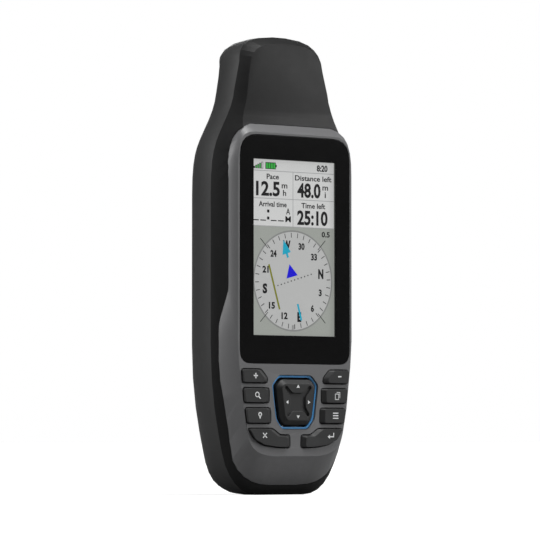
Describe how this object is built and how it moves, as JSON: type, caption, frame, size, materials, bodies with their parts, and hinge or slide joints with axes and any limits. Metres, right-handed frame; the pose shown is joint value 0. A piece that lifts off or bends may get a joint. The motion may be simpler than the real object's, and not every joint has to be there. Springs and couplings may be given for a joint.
{
  "type": "handheld satellite navigator",
  "caption": "Handheld navigation receiver with an antenna nub, framed display, keypad with rocker, and a latched battery door on the back.",
  "frame": {"origin": "centre of the box's footprint, at the foot", "axes": "+Z along the case towards the antenna, front face towards -Y, X across"},
  "size_m": [0.0666, 0.0318, 0.172],
  "materials": {
    "case_grey": "moulded, fine grain",
    "case_black": "moulded, fine grain",
    "bezel_grey": "satin moulded",
    "window_glass": "clear pane with a black printed border",
    "screen": "transflective display page",
    "trim_blue": "gloss moulded",
    "key_rubber": "satin",
    "seal_rubber": "matte",
    "steel": "plain",
    "board_green": "solder mask",
    "copper": "copper strip, bright",
    "ceramic": "matte",
    "cell_wrap": "printed sleeve with no lettering"
  },
  "bodies": {
    "case": {"front_bezel": "bezel_grey", "front_case": "case_black", "back_case": "case_grey", "case_seal": "seal_rubber", "display_window": "window_glass", "display_panel": "screen", "display_tray": "case_black", "rocker_ring": "trim_blue", "key_mat": "seal_rubber", "dome_sheet": "steel", "key_board": "board_green", "main_board": "board_green", "shield_can": "steel", "buzzer": "case_black", "antenna_former": "ceramic", "antenna_helix": "copper", "antenna_board": "board_green", "battery_bay": "case_black", "battery_cell_right": "cell_wrap", "battery_cell_left": "cell_wrap", "contact_plate_right": "steel", "contact_plate_left": "steel", "contact_bridge": "steel", "contact_spring": "steel", "usb_socket": "steel", "power_switch": "steel", "case_screw_1": "steel", "case_screw_2": "steel", "case_screw_3": "steel", "case_screw_4": "steel", "case_screw_5": "steel", "case_screw_6": "steel", "door_seal": "seal_rubber"},
    "rocker_pad": {"rocker_pad": "key_rubber"},
    "rocker_pivot": {"rocker_pivot": "steel"},
    "key_zoom_out": {"key_zoom_out": "key_rubber"},
    "key_page": {"key_page": "key_rubber"},
    "key_menu": {"key_menu": "key_rubber"},
    "key_enter": {"key_enter": "key_rubber"},
    "key_zoom_in": {"key_zoom_in": "key_rubber"},
    "key_find": {"key_find": "key_rubber"},
    "key_mark": {"key_mark": "key_rubber"},
    "key_quit": {"key_quit": "key_rubber"},
    "battery_door": {"battery_door": "case_grey"},
    "latch_cam": {"latch_cam": "case_black"},
    "latch_ring": {"latch_ring": "steel"},
    "weather_cap": {"weather_cap": "seal_rubber"},
    "power_button": {"power_button": "key_rubber"}
  },
  "joints": [
    {"name": "press_zoom_in", "type": "slide", "parent": "case", "child": "key_zoom_in", "axis": [0, 1, 0], "range_m": [0, 0.0005], "stiffness_N_per_m": 2500},
    {"name": "press_find", "type": "slide", "parent": "case", "child": "key_find", "axis": [0, 1, 0], "range_m": [0, 0.0005], "stiffness_N_per_m": 2500},
    {"name": "press_mark", "type": "slide", "parent": "case", "child": "key_mark", "axis": [0, 1, 0], "range_m": [0, 0.0005], "stiffness_N_per_m": 2500},
    {"name": "press_quit", "type": "slide", "parent": "case", "child": "key_quit", "axis": [0, 1, 0], "range_m": [0, 0.0005], "stiffness_N_per_m": 2500},
    {"name": "press_zoom_out", "type": "slide", "parent": "case", "child": "key_zoom_out", "axis": [0, 1, 0], "range_m": [0, 0.0005], "stiffness_N_per_m": 2500},
    {"name": "press_page", "type": "slide", "parent": "case", "child": "key_page", "axis": [0, 1, 0], "range_m": [0, 0.0005], "stiffness_N_per_m": 2500},
    {"name": "press_menu", "type": "slide", "parent": "case", "child": "key_menu", "axis": [0, 1, 0], "range_m": [0, 0.0005], "stiffness_N_per_m": 2500},
    {"name": "press_enter", "type": "slide", "parent": "case", "child": "key_enter", "axis": [0, 1, 0], "range_m": [0, 0.0005], "stiffness_N_per_m": 2500},
    {"name": "rocker_up_down", "type": "hinge", "parent": "case", "child": "rocker_pivot", "pos_m": [0, -0.01055, 0.0346], "axis": [1, 0, 0], "range_deg": [-4, 4], "stiffness_Nm_per_rad": 0.2},
    {"name": "rocker_left_right", "type": "hinge", "parent": "rocker_pivot", "child": "rocker_pad", "pos_m": [0, -0.01055, 0.0346], "axis": [0, 0, 1], "range_deg": [-4, 4], "stiffness_Nm_per_rad": 0.2},
    {"name": "press_power", "type": "slide", "parent": "case", "child": "power_button", "axis": [-1, 0, 0], "range_m": [0, 0.0005], "stiffness_N_per_m": 2500},
    {"name": "weather_cap_flap", "type": "hinge", "parent": "case", "child": "weather_cap", "pos_m": [0, 0.01585, 0.1175], "axis": [1, 0, 0], "range_deg": [0, 110]},
    {"name": "battery_door_lift", "type": "slide", "parent": "case", "child": "battery_door", "axis": [0, 1, 0], "range_m": [0, 0.03]},
    {"name": "latch_turn", "type": "hinge", "parent": "battery_door", "child": "latch_cam", "pos_m": [0, 0.01485, 0.024], "axis": [0, 1, 0], "range_deg": [0, 90]},
    {"name": "latch_ring_lift", "type": "hinge", "parent": "latch_cam", "child": "latch_ring", "pos_m": [0, 0.01535, 0.0257], "axis": [1, 0, 0], "range_deg": [0, 90]}
  ]
}
